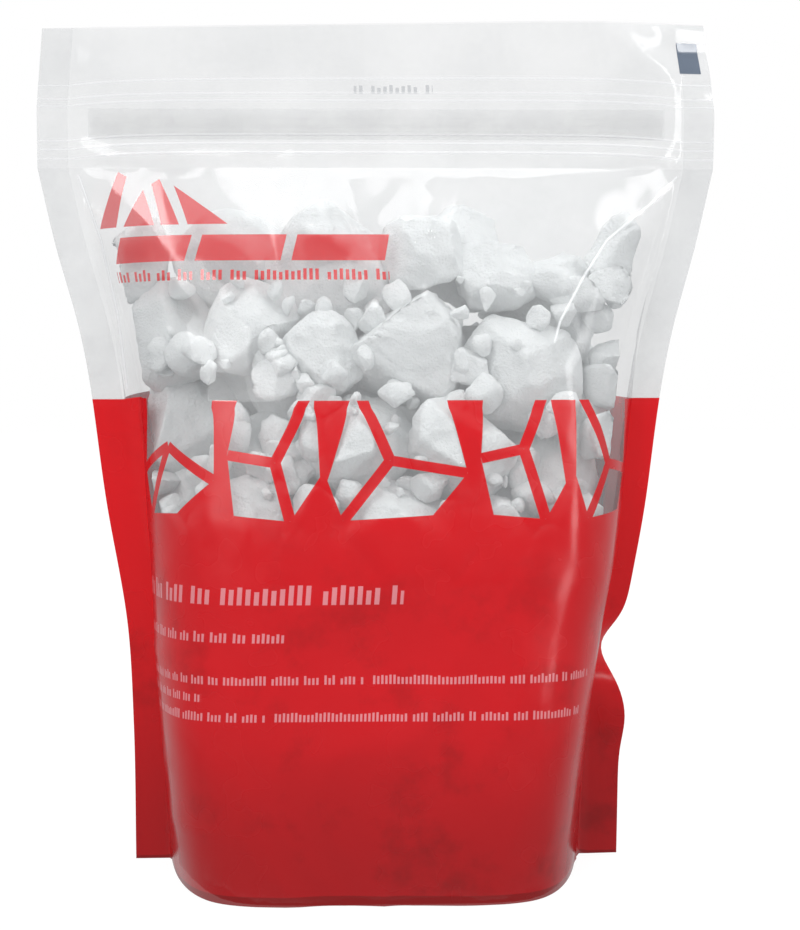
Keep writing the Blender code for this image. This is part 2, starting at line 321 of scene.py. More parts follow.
def words_mask(graph, across, up, left, right, low, high, stroke, seed):
    """A line of plain upright ticks, grouped like words, standing in for a line of small print."""

    def chance(value, shift):
        """A random number for each whole step of a value."""
        node = graph.add("ShaderNodeTexWhiteNoise", noise_dimensions="1D")
        graph.plug(node.inputs["W"], graph.math("ADD", graph.math("FLOOR", value), seed + shift))
        return node.outputs["Value"]

    tick = graph.math("DIVIDE", across, stroke)
    inked = graph.math("LESS_THAN", graph.math("FRACT", tick), TICK_INK)
    kept = graph.math("GREATER_THAN", chance(tick, 0.5), TICK_GAPS)
    drop = TICK_DROP * (high - low)
    top = graph.math("MULTIPLY_ADD", chance(tick, 7.5), drop, high - drop)
    below_top = graph.math("LESS_THAN", up, top)
    mask = graph.math("MULTIPLY", graph.math("MULTIPLY", inked, kept), below_top)
    return graph.math("MULTIPLY", mask, box_mask(graph, across, up, left, right, low, high))


# ---------------------------------------------------------------- materials


CLEAR_WHITE = (0.63, 0.64, 0.65)
PRINT_RED = (0.63, 0.004, 0.009)
# The next two colours are painted light: a deep red for painted shade, and a brighter red for painted light on
# the wings
PAINTED_SHADE_RED = (0.27, 0.003, 0.004)
PAINTED_LIGHT_WING_RED = (0.82, 0.004, 0.010)
PALE_INK = (0.80, 0.33, 0.36)
MARK_BLUE = (0.10, 0.13, 0.18)
# A painted highlight along the front's sharpest folds
FOLD_HIGHLIGHT_WHITE = (0.95, 0.96, 0.97)
ZIP_WHITE = (0.85, 0.86, 0.87)
LUMP_WHITE = (0.91, 0.93, 0.93)
FINES_WHITE = (0.88, 0.90, 0.90)
CHALK_SHADE = 0.93  # how bright the grey patches are beside the rest

# Windows in the print shaped like five broken chunks, open at its top. Each has its six corners, the inner
# point where its edges meet, and which corners those edges run to.
CHUNKS = (
    (
        (
            (-0.0690, 0.1075), (-0.0540, 0.1085), (-0.0435, 0.1180),
            (-0.0460, 0.1450), (-0.0740, 0.1450), (-0.0765, 0.1200),
        ),
        (-0.0600, 0.1270),
        (0, 2, 5),
    ),
    (
        (
            (-0.0370, 0.1085), (-0.0230, 0.1070), (-0.0165, 0.1190),
            (-0.0190, 0.1450), (-0.0380, 0.1450), (-0.0405, 0.1250),
        ),
        (-0.0280, 0.1230),
        (1, 3, 5),
    ),
    (
        (
            (-0.0100, 0.1070), (0.0120, 0.1085), (0.0205, 0.1200),
            (0.0150, 0.1450), (-0.0080, 0.1450), (-0.0145, 0.1180),
        ),
        (0.0010, 0.1235),
        (0, 2, 4),
    ),
    (
        (
            (0.0270, 0.1085), (0.0400, 0.1072), (0.0455, 0.1170),
            (0.0430, 0.1450), (0.0260, 0.1450), (0.0240, 0.1240),
        ),
        (0.0350, 0.1265),
        (1, 3, 5),
    ),
    (
        (
            (0.0520, 0.1072), (0.0690, 0.1085), (0.0750, 0.1200),
            (0.0720, 0.1450), (0.0510, 0.1450), (0.0485, 0.1190),
        ),
        (0.0610, 0.1220),
        (0, 2, 4),
    ),
)
CHUNK_EDGE = 0.0029  # width of the red left standing along a chunk's inner edges

# The plain emblem above the windows: a cluster of four wedges over three slanted blocks
EMBLEM = (
    ((-0.0850, 0.1895), (-0.0790, 0.1895), (-0.0735, 0.2040), (-0.0760, 0.2055)),
    ((-0.0765, 0.1895), (-0.0660, 0.1895), (-0.0690, 0.2000)),
    ((-0.0640, 0.1895), (-0.0585, 0.1895), (-0.0640, 0.2030), (-0.0665, 0.2015)),
    ((-0.0560, 0.1895), (-0.0440, 0.1895), (-0.0600, 0.2010)),
    ((-0.0805, 0.1790), (-0.0560, 0.1790), (-0.0545, 0.1865), (-0.0780, 0.1865)),
    ((-0.0530, 0.1790), (-0.0285, 0.1790), (-0.0270, 0.1865), (-0.0515, 0.1865)),
    ((-0.0255, 0.1790), (0.0010, 0.1790), (0.0025, 0.1865), (-0.0240, 0.1865)),
)

# Lines of small print: left, right, low, high, space for each tick, seed
TAGLINE = (-0.0810, 0.0020, 0.1735, 0.1768, 0.0017, 5.0)
SMALL_PRINT = (
    (-0.0760, 0.0050, 0.0840, 0.0895, 0.0021, 3.0),
    (-0.0760, -0.0245, 0.0735, 0.0765, 0.0012, 11.0),
    (-0.0740, 0.0580, 0.0618, 0.0644, 0.0010, 23.0),
    (-0.0740, -0.0450, 0.0568, 0.0594, 0.0010, 31.0),
    (-0.0730, 0.0540, 0.0516, 0.0542, 0.0010, 47.0),
)
DATE_TICKS = (-0.0070, 0.0165, 0.2284, 0.2312, 0.0018, 61.0)

# Fine lines where the zip's flanges are welded to the film, and the line above them
WELD_LINES = (0.2108, 0.2135, 0.2160, 0.2262, 0.2285, 0.2330)
WELD_LINE_HALF = 0.00025
LIP_MARK = (0.0905, 0.0972, 0.2365, 0.2462)  # the dark printing mark: left, right, low, high

# Painted shade and painted light in the red, up the flat film: low, high, the share below low, the share above
# high
SHADE_BLOTCH_SHARE = (0.075, 0.110, 0.34, 0.10)
LOWER_SHADE_SHARE = (-0.005, 0.070, 0.55, 0.0)
BOTTOM_SHADE_SHARE = (0.0007, 0.0015, 1.0, 0.0)
WING_LIGHT_SHARE = (0.030, 0.120, 0.15, 1.0)
# The painted light on the wings begins this far across
WING_LIGHT_START = (0.0855, 0.0875)  # the brighter wings begin this far across

# How much the film covers what is behind it, from its clearest places to its haziest
WALL_HAZE = (0.23, 0.34)
LIP_HAZE = (0.18, 0.30)
SEAL_HAZE = (0.10, 0.18)
ZIP_HAZE = (0.03, 0.07)

# How much more solid marks cover: the first four instead of the haze, the last two on top of it
RED_COVER = 0.95
SEAL_RED_COVER = 0.98
EMBLEM_COVER = 0.80
DATE_COVER = 0.55
# The painted fold highlight thickens the cover this much
FOLD_HIGHLIGHT_COVER = 0.45
WELD_COVER = 0.16

# How far small print and the painted fold highlights turn the colour towards their own
PALE_SHARE = 0.75
FOLD_HIGHLIGHT_SHARE = 0.8

SEAL_RIB = 0.0016  # from one rib of a side seal to the next


def cloudy(graph, low, high):
    """A cover that drifts slowly between low and high, like the haze in film."""
    return graph.ramp(graph.noise(30.0, 4.0, roughness=0.6), 0.30, 0.72, low, high)


def film_gloss(graph, printed):
    """Fine ripples and a little uneven gloss. Clear film is set glossier, since its cover thins its gloss."""
    low, high = (0.16, 0.30) if printed else (0.06, 0.16)
    graph.set(Roughness=graph.ramp(graph.noise(60.0, 2.0), 0.3, 0.7, low, high))
    graph.set(IOR=1.5 if printed else 1.9, Specular_IOR_Level=0.35 if printed else 0.55)
    graph.bump(graph.noise(70.0, 2.0), 0.10, 0.0006)


def red_with_painted_light(graph, across, up):
    """The red over the chalk with painted light: dark blotches of painted shade, painted shade darker low down
    and along the bottom edge, and painted light that makes the wings brighter.
    """
    blotches = graph.ramp(graph.noise(48.0, 5.0, roughness=0.62), 0.50, 0.72)
    blotches = graph.math("MULTIPLY", blotches, graph.ramp(up, *SHADE_BLOTCH_SHARE))
    lower = graph.ramp(up, *LOWER_SHADE_SHARE)
    dark = graph.math("ADD", lower, blotches, clamp=True)
    dark = graph.math("MAXIMUM", dark, graph.ramp(up, *BOTTOM_SHADE_SHARE))
    wing = graph.ramp(graph.math("ABSOLUTE", across), *WING_LIGHT_START)
    wing = graph.math("MULTIPLY", wing, graph.ramp(up, *WING_LIGHT_SHARE))
    return graph.mix(dark, graph.mix(wing, PRINT_RED, PAINTED_LIGHT_WING_RED), PAINTED_SHADE_RED)


def front_print(graph, across, up, red):
    """The front's windows cut from the red, with the emblem added to it, and the small print."""
    windows = union(graph, [polygon_mask(graph, across, up, corners) for corners, _, _ in CHUNKS])
    edges = [stripe(hub, corners[i], CHUNK_EDGE) for corners, hub, ends in CHUNKS for i in ends]
    edges = union(graph, [polygon_mask(graph, across, up, edge) for edge in edges])
    windows = graph.math("MULTIPLY", windows, graph.math("SUBTRACT", 1.0, edges))
    red = graph.math("MULTIPLY", red, graph.math("SUBTRACT", 1.0, windows))
    emblem = [polygon_mask(graph, across, up, shape) for shape in EMBLEM]
    emblem.append(words_mask(graph, across, up, *TAGLINE))
    pale = union(graph, [words_mask(graph, across, up, *line) for line in SMALL_PRINT])
    pale = graph.math("MULTIPLY", pale, red)
    return red, union(graph, emblem), pale


def fold_highlight_lines(graph):
    """A painted highlight along the front's sharpest folds, where the film is creased and also a little milky.
    """
    split = graph.add("ShaderNodeSeparateXYZ")
    graph.plug(split.inputs[0], graph.place())
    x, z = split.outputs[0], split.outputs[2]
    lines = []
    for fold in (RIGHT_FOLD, LEFT_FOLD_HIGHLIGHT):
        for (low, start), (high, end) in zip(fold, fold[1:]):
            lines.append(polygon_mask(graph, x, z, stripe((start, low), (end, high), FOLD_LINE)))
    return union(graph, lines)


def film_material(name, printed, front):
    """Clear film, red up to the print's top, with painted shade and painted light in the red. The front has
    windows, an emblem and small print, and a painted highlight along its sharpest folds.
    """
    graph = Graph(name)
    across, up = graph.print_place()
    cover = cloudy(graph, *WALL_HAZE)
    red = graph.ramp(up, PRINT_TOP - EDGE, PRINT_TOP + EDGE, 1.0, 0.0)
    if front:
        red, emblem, pale = front_print(graph, across, up, red)
        # The red carries painted shade and painted light
        colour = graph.mix(graph.math("MAXIMUM", red, emblem), CLEAR_WHITE, red_with_painted_light(graph, across, up))
        colour = graph.mix(graph.math("MULTIPLY", pale, PALE_SHARE), colour, PALE_INK)
        cover = graph.math("MAXIMUM", cover, graph.math("MULTIPLY", emblem, EMBLEM_COVER))
        # A painted highlight along the sharpest folds, which are also a little milky
        folded = fold_highlight_lines(graph)
        colour = graph.mix(graph.math("MULTIPLY", folded, FOLD_HIGHLIGHT_SHARE), colour, FOLD_HIGHLIGHT_WHITE)
        cover = graph.math("MULTIPLY_ADD", folded, FOLD_HIGHLIGHT_COVER, cover)
    else:
        # The red carries painted shade and painted light
        colour = graph.mix(red, CLEAR_WHITE, red_with_painted_light(graph, across, up))
    cover = graph.math("MAXIMUM", cover, graph.math("MULTIPLY", red, RED_COVER))
    graph.set(Base_Color=colour, Alpha=cover)
    film_gloss(graph, printed)
    return graph.material


def lip_material(name, front):
    """Clear film above the neck, with the zip's fine weld lines, and the marks at the top."""
    graph = Graph(name)
    across, up = graph.print_place()
    cover = cloudy(graph, *LIP_HAZE)
    lines = [band_mask(graph, up, z - WELD_LINE_HALF, z + WELD_LINE_HALF) for z in WELD_LINES]
    lines = union(graph, lines)
    cover = graph.math("MULTIPLY_ADD", lines, WELD_COVER, cover)
    colour = graph.mix(lines, CLEAR_WHITE, ZIP_WHITE)
    if front:
        mark = box_mask(graph, across, up, *LIP_MARK)
    else:
        mark = graph.math("MULTIPLY", words_mask(graph, across, up, *DATE_TICKS), DATE_COVER)
    colour = graph.mix(mark, colour, MARK_BLUE)
    graph.set(Base_Color=colour, Alpha=graph.math("MAXIMUM", cover, mark))
    film_gloss(graph, False)
    return graph.material


def zip_material(name):
    graph = Graph(name)
    streaks = graph.ramp(graph.noise(70.0, 2.0), 0.3, 0.7, *ZIP_HAZE)
    graph.set(Base_Color=(*ZIP_WHITE, 1.0), Alpha=streaks, Roughness=0.18)
    return graph.material


def seal_film(name):
    """Two films welded together: ribbed, and red up to the lower of their print edges."""
    graph = Graph(name)
    across, up = graph.print_place()
    ribs = graph.math("SINE", graph.math("MULTIPLY", up, 2 * math.pi / SEAL_RIB))
    red = graph.ramp(up, SEAL_PRINT_TOP - EDGE, SEAL_PRINT_TOP + EDGE, 1.0, 0.0)
    # The red carries the same painted shade and painted light as the walls
    colour = graph.mix(red, CLEAR_WHITE, red_with_painted_light(graph, across, up))
    haze = graph.ramp(graph.noise(45.0, 3.0), 0.3, 0.7, *SEAL_HAZE)
    cover = graph.math("MAXIMUM", haze, graph.math("MULTIPLY", red, SEAL_RED_COVER))
    graph.set(Base_Color=colour, Alpha=cover, Roughness=0.2)
    graph.bump(ribs, 0.10, 0.0002)
    return graph.material


def chalk(name, tint):
    """Dry pressed chalk: nearly white and powdery, with faint grey patches and fine pits."""
    graph = Graph(name)
    patches = graph.ramp(graph.noise(90.0, 5.0, roughness=0.65), 0.35, 0.75)
    shade = tuple(CHALK_SHADE * part for part in tint)
    graph.set(Base_Color=graph.mix(patches, tint, shade))
    graph.set(Roughness=1.0, Specular_IOR_Level=0.1)
    grain = graph.math("MULTIPLY_ADD", graph.noise(1300.0, 3.0), 0.6, graph.noise(380.0, 6.0, roughness=0.75))
    graph.bump(grain, 0.9, 0.0009)
    return graph.material


# ---------------------------------------------------------------- the film's shape


NECK_SQUARE = 6.0  # how square a film's cross section is at the neck

# Height as a share of the neck's, growth of the width, half depth and squareness, as in the CAD
BODY_SECTIONS = np.array(
    (
        (0.00, 0.00, BASE_HALF_DEPTH, 8.0),
        (0.20, 0.01, BELLY_HALF, 7.5),
        (0.34, 0.06, 0.97 * BELLY_HALF, 6.5),
        (0.52, 0.28, 0.89 * BELLY_HALF, 5.5),
        (0.77, 0.56, 0.62 * BELLY_HALF, 4.5),
        (0.90, 0.83, 0.34 * BELLY_HALF, 4.5),
        (1.00, 1.00, NECK_HALF, NECK_SQUARE),
    )
)


def section_values(height):
    """Growth of the width, half depth and squareness at a height, on a smooth curve through the sections."""
    heights = BODY_SECTIONS[:, 0] * NECK_Z
    values = BODY_SECTIONS[:, 1:]
    slopes = np.gradient(values, heights, axis=0)
    i = int(np.clip(np.searchsorted(heights, height) - 1, 0, len(heights) - 2))
    span = heights[i + 1] - heights[i]
    t = min(max((height - heights[i]) / span, 0.0), 1.0)
    rise = t * t * (3 - 2 * t)
    leave = t * (1 - t) ** 2 * span
    arrive = -t * t * (1 - t) * span
    return (1 - rise) * values[i] + rise * values[i + 1] + leave * slopes[i] + arrive * slopes[i + 1]


def outer_half_width(height):
    if height > ZIP_HIGH.z:
        return float(np.interp(height, (ZIP_HIGH.z, TOP_Z), (HALF_FLAT, TOP_HALF)))
    return BASE_HALF + float(section_values(height)[0]) * (HALF_FLAT - BASE_HALF)


def inner_half_width(height):
    return outer_half_width(height) - SEAL_WIDTH


# Where the front panel's creases run, as a share of the inner half width: height, left, right
CREASES = (
    (0.000, 0.975, 0.955),
    (0.038, 0.985, 0.965),
    (0.068, 0.990, 0.990),
    (0.098, 0.955, 0.990),
    (0.140, 0.925, 0.985),
    (0.185, 0.950, 0.975),
    (0.208, 0.970, 0.985),
)

# How far the front panel bulges sideways over the seals: height, left, right
OVERHANG = (
    (0.000, -0.0015, -0.0040),
    (0.020, 0.0025, -0.0015),
    (0.068, 0.0055, 0.0030),
    (0.090, 0.0045, 0.0050),
    (0.140, 0.0010, 0.0045),
    (0.185, 0.0, 0.0),
    (0.208, 0.0, 0.0),
)
OVERHANG_EASE = 0.2  # the bulge grows to its full size over this share of the half width

# The fold that runs down from the right end of the zip, with a painted highlight along it: height and place
# across
RIGHT_FOLD = (
    (0.158, 0.0490),
    (0.164, 0.0510),
    (0.177, 0.0590),
    (0.187, 0.0665),
    (0.198, 0.0810),
    (0.206, 0.0893),
)
RIGHT_FOLD_TURN = 0.34
RIGHT_FOLD_SPREAD = 0.011
RIGHT_FOLD_ENDS = ((0.150, 0.166, 0.200, 0.208), (0, 1, 1, 0))  # heights, and how strong the fold is there

# The painted highlight line along the left edge of the clear part, where the film is also a little milky, in
# the same way, and how wide both lines look
LEFT_FOLD_HIGHLIGHT = ((0.143, -0.0745), (0.165, -0.0770), (0.187, -0.0815), (0.206, -0.0880))
FOLD_LINE = 0.0007

# Shorter slack folds: start and end as (x, z), and how far the film turns there
SLACK_SPREAD = 0.008
SLACK_FOLDS = (
    ((-0.079, 0.206), (-0.058, 0.160), -0.16),
    ((-0.030, 0.207), (-0.012, 0.176), 0.10),
    ((0.010, 0.206), (0.034, 0.170), -0.12),
    ((0.060, 0.150), (0.073, 0.095), 0.16),
    ((-0.052, 0.108), (-0.020, 0.085), 0.10),
    ((0.010, 0.100), (0.050, 0.078), -0.10),
    ((-0.062, 0.070), (-0.030, 0.030), 0.10),
    ((0.022, 0.060), (0.058, 0.018), 0.14),
    ((0.062, 0.075), (0.052, 0.012), 0.18),
)

LIP_SQUARE = 40.0  # how square the cross section is from the zip up
CREASE_SHARP = 0.7  # how sharply the film turns at a crease: less is sharper
CREASE_FADE = 0.03  # the creases fade out over this height below the neck

# The bend of the top right corner: a point on its line as (x, z), the way across it, how far it leans
CORNER_LINE = (0.066, 0.252)
CORNER_WAY = (0.634, 0.775)
CORNER_LEAN = 0.42

# How far the mouth droops at its left end, and the least share of that towards its right end
MOUTH_DROOP = 0.0036
DROOP_LEAST = 0.25

# The kink in the right seal: a waist pulled in and back, over a flare pushed out and forward
WAIST_HEIGHT = 0.0635
WAIST_IN = 0.0056
WAIST_BACK = 0.0055
FLARE_HEIGHT = 0.043
FLARE_OUT = 0.0014
FLARE_FORWARD = 0.002
BUCKLE_HEIGHT = 0.009

# The push of the chalk on the film: how often it is spread, and how much of it goes on each time
PUSH_ROUNDS = 4
PUSH_SHARE = 0.86
PUSH_REACH = 0.08  # from the pouch's middle plane, and beyond the film everywhere


def profile(across, height, side):
    """Half depth, and the share of it that the film has reached at a place across."""
    if height >= NECK_Z:
        heights = (NECK_Z, ZIP_LOW.z, TOP_Z)
        depth = float(np.interp(height, heights, (NECK_HALF, LIP_HALF, LIP_HALF)))
        square = float(np.interp(height, heights, (NECK_SQUARE, LIP_SQUARE, LIP_SQUARE)))
        return depth, (1 - abs(across) ** square) ** 2
    _, depth, square = section_values(height)
    heights, left, right = zip(*CREASES)
    crease = float(np.interp(height, heights, right if across * side < 0 else left))
    sharp = (1 - min(abs(across) / crease, 1.0) ** square) ** CREASE_SHARP
    soft = (1 - abs(across) ** square) ** 2
    body = min((NECK_Z - height) / CREASE_FADE, 1.0)
    return float(depth), body * sharp + (1 - body) * soft


def ripple(x, z, side):
    """Slack waves and faint facets in the film, outward in metres."""
    big = noise.noise(Vector((x * 22, z * 15, 5.0 * side)))
    fold = abs(noise.noise(Vector((x * 34 + 9, z * 22, 7.0 * side))))
    fine = abs(noise.noise(Vector((x * 80, z * 50, 3.0 * side))))
    return 0.0010 * big - 0.0022 * fold - 0.0005 * fine + 0.0012


def folds(x, z):
    """How far the front's folds lift the film: a turn along each line, dying away beyond it."""
    heights, places = zip(*RIGHT_FOLD)
    beyond = max(x - float(np.interp(z, heights, places)), 0.0)
    fade = float(np.interp(z, *RIGHT_FOLD_ENDS))
    lift = RIGHT_FOLD_TURN * fade * beyond * math.exp(-beyond / RIGHT_FOLD_SPREAD)
    for (ax, az), (bx, bz), turn in SLACK_FOLDS:
        length = math.hypot(bx - ax, bz - az)
        along = ((x - ax) * (bx - ax) + (z - az) * (bz - az)) / length**2
        if not 0 < along < 1:
            continue
        beyond = max(((x - ax) * (bz - az) - (z - az) * (bx - ax)) / length, 0.0)
        lift += turn * math.sin(math.pi * along) * beyond * math.exp(-beyond / SLACK_SPREAD)
    return lift


def corner_bend(x, z):
    """The top right corner leans back beyond a slanting line, with fine waves in it."""
    beyond = max((x - CORNER_LINE[0]) * CORNER_WAY[0] + (z - CORNER_LINE[1]) * CORNER_WAY[1], 0.0)
    wave = 0.0007 * math.sin(z * 420) * min(beyond / 0.01, 1)
    return CORNER_LEAN * beyond + wave


def sagged(x, z):
    """A height, lowered a little towards the top left corner, where the mouth droops."""
    above_zip = max(z - ZIP_HIGH.z, 0.0) / (TOP_Z - ZIP_HIGH.z)
    leftward = min(max(0.5 - x / (2 * HALF_FLAT), DROOP_LEAST), 1.0)
    return z - MOUTH_DROOP * above_zip * leftward


def seal_buckle(x, z):
    """How far a point on the right seal moves across and back where it kinks, below its middle."""
    out = max(x - inner_half_width(z), 0.0) / SEAL_WIDTH
    waist = math.exp(-(((z - WAIST_HEIGHT) / BUCKLE_HEIGHT) ** 2))
    flare = math.exp(-(((z - FLARE_HEIGHT) / BUCKLE_HEIGHT) ** 2))
    wave = 0.0006 * math.sin(z * 95 + 2)
    across = FLARE_OUT * flare - WAIST_IN * waist
    back = WAIST_BACK * waist - FLARE_FORWARD * flare + wave
    return out * across, out * back


def film_point(across, height, side):
    """A point on a film. side is -1 for the front and 1 for the back. Past 1 or -1 it runs over the seal."""
    out = min(abs(across), 1.0) * inner_half_width(height) + max(abs(across) - 1, 0.0) * SEAL_WIDTH
    x = math.copysign(out, across)
    if abs(across) >= 1:
        dx, dy = seal_buckle(x, height)
        return Vector((x + dx, side * FILM_GAP / 2 + corner_bend(x, height) + dy, sagged(x, height)))
    depth, share = profile(across, height, side)
    if height >= NECK_Z:
        slack = 0.0003 * abs(noise.noise(Vector((x * 60, height * 90, side))))
    else:
        slack = ripple(x, height, side)
        if side < 0:
            slack += folds(x, height)
    free = min(1.0, 3.0 * share)
    heights, left, right = zip(*OVERHANG)
    over = float(np.interp(height, heights, right if across * side < 0 else left)) * math.sqrt(share)
    outward = min(max(across / OVERHANG_EASE, -1.0), 1.0)
    y = side * (FILM_GAP / 2 + depth * share + slack * free) + corner_bend(x, height)
    return Vector((x + over * outward, y, sagged(x, height)))


def set_flat_film(mesh, places):
    """The UV map flat_film: each corner's place on the flat film, in metres."""
    layer = mesh.uv_layers.new(name="flat_film")
    for loop in mesh.loops:
        layer.data[loop.index].uv = places[loop.vertex_index]


def sheet_mesh(name, rows, places):
    """A mesh through rows of points, with the flat place of each point."""
    width = len(rows[0])
    verts = [point for row in rows for point in row]
    faces = []
    for r in range(len(rows) - 1):
        for c in range(width - 1):
            a = r * width + c
            faces.append((a, a + 1, a + width + 1, a + width))
    mesh = bpy.data.meshes.new(name)
    mesh.from_pydata(verts, [], faces)
    set_flat_film(mesh, [place for row in places for place in row])
    mesh.shade_smooth()
    return mesh


def add_piece(name, mesh, material):
    """A new object with one material, in a slot."""
    obj = bpy.data.objects.new(name, mesh)
    mesh.materials.append(material)
    bpy.context.scene.collection.objects.link(obj)
    return obj


def film_rows(columns, heights, side):
    """Rows of points across a film, and their places on the flat film by length along the row."""
    rows, places = [], []
    samples = np.linspace(-1, 1, LENGTH_SAMPLES)
    half = HALF_FLAT - SEAL_WIDTH
    for z in heights:
        rows.append([film_point(u, z, side) for u in columns])
        whole = [film_point(u * INSIDE_SEALS, z, side) for u in samples]
        along = np.cumsum([0.0] + [(b - a).length for a, b in zip(whole, whole[1:])])
        shares = 2 * np.interp(columns, samples, along) / along[-1] - 1
        past = np.maximum(np.abs(columns) - 1, 0) * SEAL_WIDTH
        raised = PRINT_LIFT * (1 - np.minimum(np.abs(columns), 1) ** 6)
        places.append(list(zip(shares * half + np.sign(columns) * past, z - raised)))
    return rows, places


def make_film(name, side, columns, heights, materials):
    """One film. A second material is used above the print's top."""
    rows, places = film_rows(columns, heights, side)
    mesh = sheet_mesh(name, rows, places)
    if side > 0:
        mesh.flip_normals()
    film = add_piece(name, mesh, materials[0])
    for material in materials[1:]:
        mesh.materials.append(material)
        for polygon in mesh.polygons:
            polygon.material_index = int(polygon.center.z > PRINT_TOP + PRINT_LIFT)
    return film


def film_heights(low, high):
    """Heights from low to high, about one film step apart."""
    return np.linspace(low, high, max(2, round((high - low) / FILM_STEP)) + 1)


def film_columns(low, high):
    """Columns across the film, closer together near the creases, then out over the seals."""
    even = np.linspace(-1, 1, FILM_COLUMNS + 1)
    bent = np.sign(even) * (1 - (1 - np.abs(even)) ** 1.35)
    over_seal = 1 + np.arange(1, SEAL_COLUMNS + 1) / SEAL_COLUMNS
    columns = np.concatenate((-over_seal[::-1], bent, over_seal))
    return columns[(columns >= low) & (columns <= high)]


def chalk_tree(pieces):
    """Every surface of the chalk, for the film to rest on."""
    verts, faces = [], []
    for piece in pieces:
        start = len(verts)
        verts.extend(v.co.copy() for v in piece.data.vertices)
        faces.extend(tuple(start + i for i in polygon.vertices) for polygon in piece.data.polygons)
    return BVHTree.FromPolygons(verts, faces)


def rest_on_chalk(film, side, columns, tree):
    """Push the film out wherever chalk presses through it, with the push spread softly around."""
    width = len(columns)
    points = np.array([v.co for v in film.data.vertices]).reshape(-1, width, 3)
    push = np.zeros(points.shape[:2])
    for row in range(points.shape[0]):
        for column in range(SEAL_COLUMNS, width - SEAL_COLUMNS):
            x, y, z = points[row, column]
            hit = tree.ray_cast(Vector((x, side * PUSH_REACH, z)), Vector((0, -side, 0)))[0]
            if hit is not None:
                push[row, column] = max(side * (hit.y - y) + FILM_GAP, 0.0)
    for _ in range(PUSH_ROUNDS):
        passed = PUSH_SHARE * push
        wide = push.copy()
        wide[1:] = np.maximum(wide[1:], passed[:-1])
        wide[:-1] = np.maximum(wide[:-1], passed[1:])
        wide[:, 1:] = np.maximum(wide[:, 1:], passed[:, :-1])
        wide[:, :-1] = np.maximum(wide[:, :-1], passed[:, 1:])
        push = wide
    points[:, :, 1] += side * push
    film.data.vertices.foreach_set("co", points.ravel())
    film.data.update()


def make_walls(tree):
    columns = film_columns(-2, 2)
    for side, name, node in ((-1, "front", "front_film"), (1, "back", "back_film")):
        front = side < 0
        materials = [
            film_material(name + "_print", True, front),
            film_material(name + "_clear", False, front),
        ]
        wall = make_film(name + "_wall", side, columns, film_heights(0.0, NECK_Z), materials)
        rest_on_chalk(wall, side, columns, tree)
        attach(wall, "pouch")
        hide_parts(node)


def make_lips():
    """Each lip in two halves."""
    for side, body in ((-1, "front_lip"), (1, "back_lip")):
        for half, outer in (("left", -1), ("right", 1)):
            name = f"{body}_{half}"
            columns = film_columns(min(0, 2 * outer), max(0, 2 * outer))
            materials = [lip_material(name + "_film", side < 0)]
            lip = make_film(name, side, columns, film_heights(NECK_Z, TOP_Z), materials)
            blend_to_seal(lip)
            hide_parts(body + "_film")


def blend_to_seal(piece):
    """Bake the piece's placement into its mesh."""
    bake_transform(piece)


def make_zip_strips():
    """The zip's two strips as the CAD has them, each in two halves."""
    for node, body in (("zip_rib_strip", "front_lip"), ("zip_groove_strip", "back_lip")):
        for half, outer in (("left", -1), ("right", 1)):
            bm = bmesh.new()
            bm.from_mesh(frame["nodes"][node].data)
            geometry = bm.verts[:] + bm.edges[:] + bm.faces[:]
            bmesh.ops.bisect_plane(
                bm, geom=geometry, plane_co=(0, 0, 0), plane_no=(-outer, 0, 0), clear_outer=True
            )
            half_length = abs(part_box(node)[0].x)
            for step in range(1, ZIP_STEPS):
                place = outer * half_length * step / ZIP_STEPS
                geometry = bm.verts[:] + bm.edges[:] + bm.faces[:]
                bmesh.ops.bisect_plane(bm, geom=geometry, plane_co=(place, 0, 0), plane_no=(1, 0, 0))
            mesh = bpy.data.meshes.new(f"{node}_{half}")
            bm.to_mesh(mesh)
            bm.free()
            mesh.materials.clear()
            strip = add_piece(f"{node}_{half}", mesh, zip_material(f"{node}_{half}_plastic"))
            blend_to_seal(strip)
            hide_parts(node)


def make_side_seals():
    heights = film_heights(0.0, TOP_Z)
    for side, name in ((-1, "left"), (1, "right")):
        rows, places = [], []
        for z in heights:
            inner = inner_half_width(z)
            row, flat = [], []
            for share in np.linspace(0, 1, 2 * SEAL_COLUMNS + 1):
                x = side * (inner + share * SEAL_WIDTH)
                dx, dy = seal_buckle(x, z)
                row.append(Vector((x + dx, corner_bend(x, z) + dy, sagged(x, z))))
                flat.append((side * (HALF_FLAT - SEAL_WIDTH + share * SEAL_WIDTH), z))
            rows.append(row)
            places.append(flat)
        mesh = sheet_mesh(name + "_seal", rows, places)
        if side < 0:
            mesh.flip_normals()
        seal = add_piece(name + "_seal", mesh, seal_film(name + "_seal_film"))
        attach(seal, "pouch")
        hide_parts(name + "_side_seal")


def make_gusset():
    """The folded floor panel as the model has it, red all over."""
    mesh = frame["nodes"]["bottom_gusset"].data.copy()
    mesh.name = "base_gusset"
    set_flat_film(mesh, [(v.co.x, GUSSET_PRINT_HEIGHT) for v in mesh.vertices])
    mesh.materials.clear()
    # Its red carries the walls' painted shade from low down
    gusset = add_piece("base_gusset", mesh, film_material("gusset_print", True, False))
    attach(gusset, "pouch")
    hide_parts("bottom_gusset")


# ---------------------------------------------------------------- chalk


